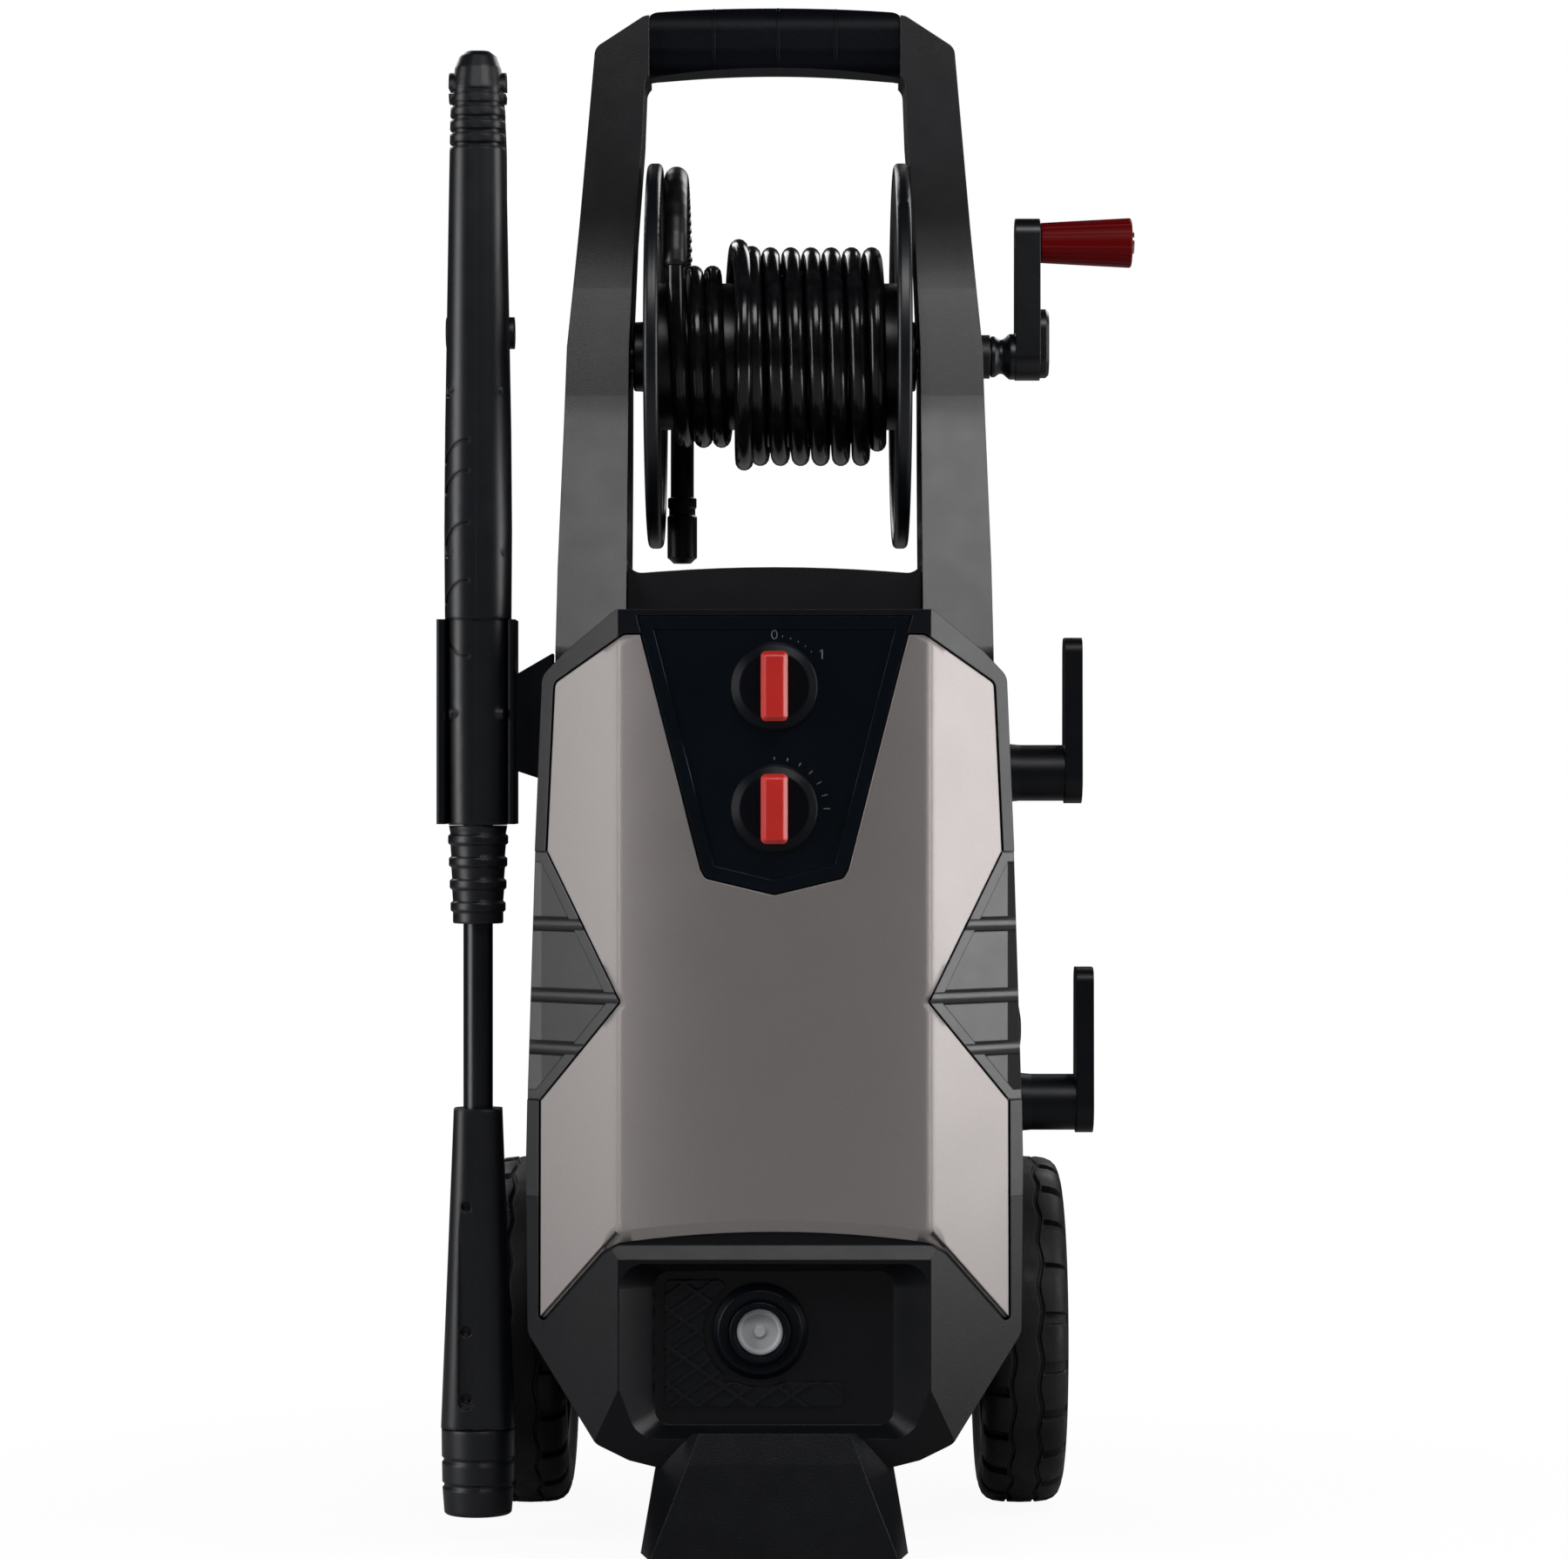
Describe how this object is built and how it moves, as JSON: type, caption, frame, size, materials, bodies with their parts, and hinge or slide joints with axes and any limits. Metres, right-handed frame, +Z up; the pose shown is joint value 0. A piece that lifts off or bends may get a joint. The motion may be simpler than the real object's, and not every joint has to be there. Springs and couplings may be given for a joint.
{
  "type": "pressure washer",
  "caption": "Upright wheeled pressure washer with a cranked hose reel in its handle frame, a stored spray gun, turning dials and swivelling cable hooks.",
  "frame": {"origin": "on the floor, at the centre of the front foot's sole", "axes": "+Z up, -Y towards the front with the dials, +X towards the crank and the cable hooks"},
  "size_m": [0.4195, 0.3293, 0.9201],
  "materials": {
    "cover": "satin",
    "housing": "fine texture",
    "vents": "fine texture",
    "panel": "gloss",
    "frame": "fine texture",
    "grip": "matt",
    "tyres": "matt",
    "rims": "satin",
    "steel": "bright",
    "reel": "satin",
    "bushes": "matt",
    "brass": "satin",
    "crank_grip": "satin",
    "hose": "satin",
    "fitting": "satin",
    "gun": "satin",
    "trigger": "satin",
    "lance": "satin",
    "holder": "satin",
    "dials": "gloss",
    "pointers": "satin",
    "hooks": "satin",
    "inlet": "satin",
    "filter": "matt",
    "pump": "cast",
    "rotor": "matt",
    "units": "matt"
  },
  "bodies": {
    "machine": {"front_shell": "housing", "nose_shell": "housing", "front_cover": "cover", "control_panel": "panel", "right_vent": "vents", "left_vent": "vents", "nose_grille": "vents", "rear_shell": "housing", "foot": "housing", "handle_front": "frame", "handle_back": "frame", "handle_grip": "grip", "wheel_axle": "steel", "axle_clips": "steel", "reel_bushes": "bushes", "reel_swivel": "brass", "gun_holder": "holder", "hook_pivots": "hooks", "inlet_socket": "inlet", "inlet_collar": "inlet", "inlet_filter": "filter", "cable_gland": "fitting", "pump": "pump", "motor_case": "pump", "feed_pipe": "brass", "dial_units": "units"},
    "right_wheel": {"right_tyre": "tyres", "right_rim": "rims", "right_hub_cap": "rims"},
    "left_wheel": {"left_tyre": "tyres", "left_rim": "rims", "left_hub_cap": "rims"},
    "reel": {"reel_drum": "reel", "left_reel_flange": "reel", "right_reel_flange": "reel", "crank_arm": "reel", "crank_cap": "reel", "crank_pin": "steel", "hose_winding": "hose", "hose_sleeve": "hose", "hose_connector": "fitting"},
    "crank_knob": {"crank_grip": "crank_grip"},
    "power_knob": {"power_dial": "dials", "power_pointer": "pointers"},
    "flow_knob": {"flow_dial": "dials", "flow_pointer": "pointers"},
    "upper_cable_hook": {"upper_hook": "hooks"},
    "lower_cable_hook": {"lower_hook": "hooks"},
    "gun": {"left_gun_shell": "gun", "right_gun_shell": "gun", "gun_fixings": "steel", "gun_valve": "brass", "lance_collar": "gun", "lance_tube": "lance", "left_lance_shroud": "gun", "right_lance_shroud": "gun", "nozzle_tip": "brass"},
    "trigger": {"gun_trigger": "trigger"},
    "nozzle": {"nozzle_sleeve": "gun"},
    "rotor": {"motor_rotor": "rotor"}
  },
  "joints": [
    {"name": "right_wheel_spin", "type": "hinge", "parent": "machine", "child": "right_wheel", "pos_m": [0.152, 0.175, 0.1075], "axis": [1, 0, 0], "continuous": true},
    {"name": "left_wheel_spin", "type": "hinge", "parent": "machine", "child": "left_wheel", "pos_m": [-0.152, 0.175, 0.1075], "axis": [1, 0, 0], "continuous": true},
    {"name": "reel_spin", "type": "hinge", "parent": "machine", "child": "reel", "pos_m": [0, 0.105, 0.709], "axis": [1, 0, 0], "continuous": true},
    {"name": "crank_grip_spin", "type": "hinge", "parent": "reel", "child": "crank_knob", "pos_m": [0.19, 0.105, 0.7785], "axis": [1, 0, 0], "continuous": true},
    {"name": "power_turn", "type": "hinge", "parent": "machine", "child": "power_knob", "pos_m": [0, -0.03, 0.505], "axis": [0, 1, 0], "range_deg": [0, 56]},
    {"name": "flow_turn", "type": "hinge", "parent": "machine", "child": "flow_knob", "pos_m": [0, -0.03, 0.434], "axis": [0, 1, 0], "range_deg": [0, 90]},
    {"name": "upper_hook_swivel", "type": "hinge", "parent": "machine", "child": "upper_cable_hook", "pos_m": [0.155, 0.095, 0.455], "axis": [1, 0, 0], "range_deg": [0, 180]},
    {"name": "lower_hook_swivel", "type": "hinge", "parent": "machine", "child": "lower_cable_hook", "pos_m": [0.162, 0.095, 0.255], "axis": [1, 0, 0], "range_deg": [0, 180]},
    {"name": "gun_lift", "type": "slide", "parent": "machine", "child": "gun", "axis": [0, 0, 1], "range_m": [0, 0.13]},
    {"name": "trigger_pull", "type": "hinge", "parent": "gun", "child": "trigger", "pos_m": [-0.1765, 0.06, 0.719], "axis": [1, 0, 0], "range_deg": [0, 12], "stiffness_Nm_per_rad": 0.3, "springref_deg": -17.19},
    {"name": "nozzle_twist", "type": "hinge", "parent": "gun", "child": "nozzle", "pos_m": [-0.1765, 0.038, 0.04], "axis": [0, 0, 1], "range_deg": [-60, 60]},
    {"name": "rotor_spin", "type": "hinge", "parent": "machine", "child": "rotor", "pos_m": [0, 0.09, 0.24], "axis": [0, 0, 1], "continuous": true}
  ]
}
